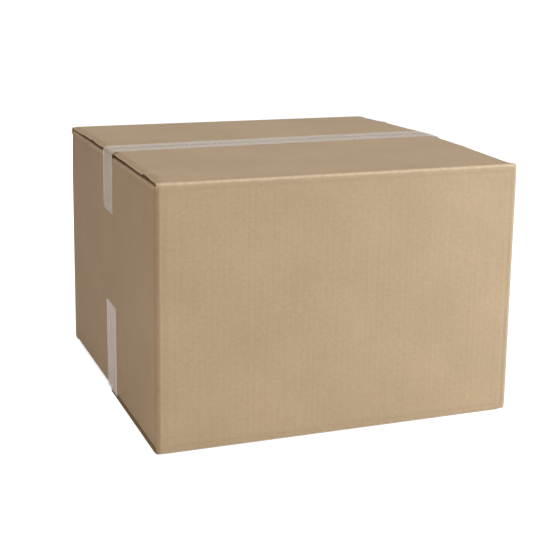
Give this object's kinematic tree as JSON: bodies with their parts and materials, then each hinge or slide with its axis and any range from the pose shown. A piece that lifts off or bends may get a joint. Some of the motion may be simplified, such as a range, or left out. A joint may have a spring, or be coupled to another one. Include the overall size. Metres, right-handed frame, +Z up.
{
  "type": "closed cardboard box",
  "caption": "Closed shipping carton of plain brown corrugated board, with its flaps folded shut and clear tape over the seams.",
  "frame": {"origin": "middle of the underside, where the box stands", "axes": "+Z up, X along the taped seams from one side panel to the other, -Y the front panel"},
  "size_m": [0.4654, 0.465, 0.327],
  "materials": {
    "board": "matt",
    "tape": "satin"
  },
  "bodies": {
    "root": {"carton": "board", "top_tape": "tape", "bottom_tape": "tape"}
  },
  "joints": []
}
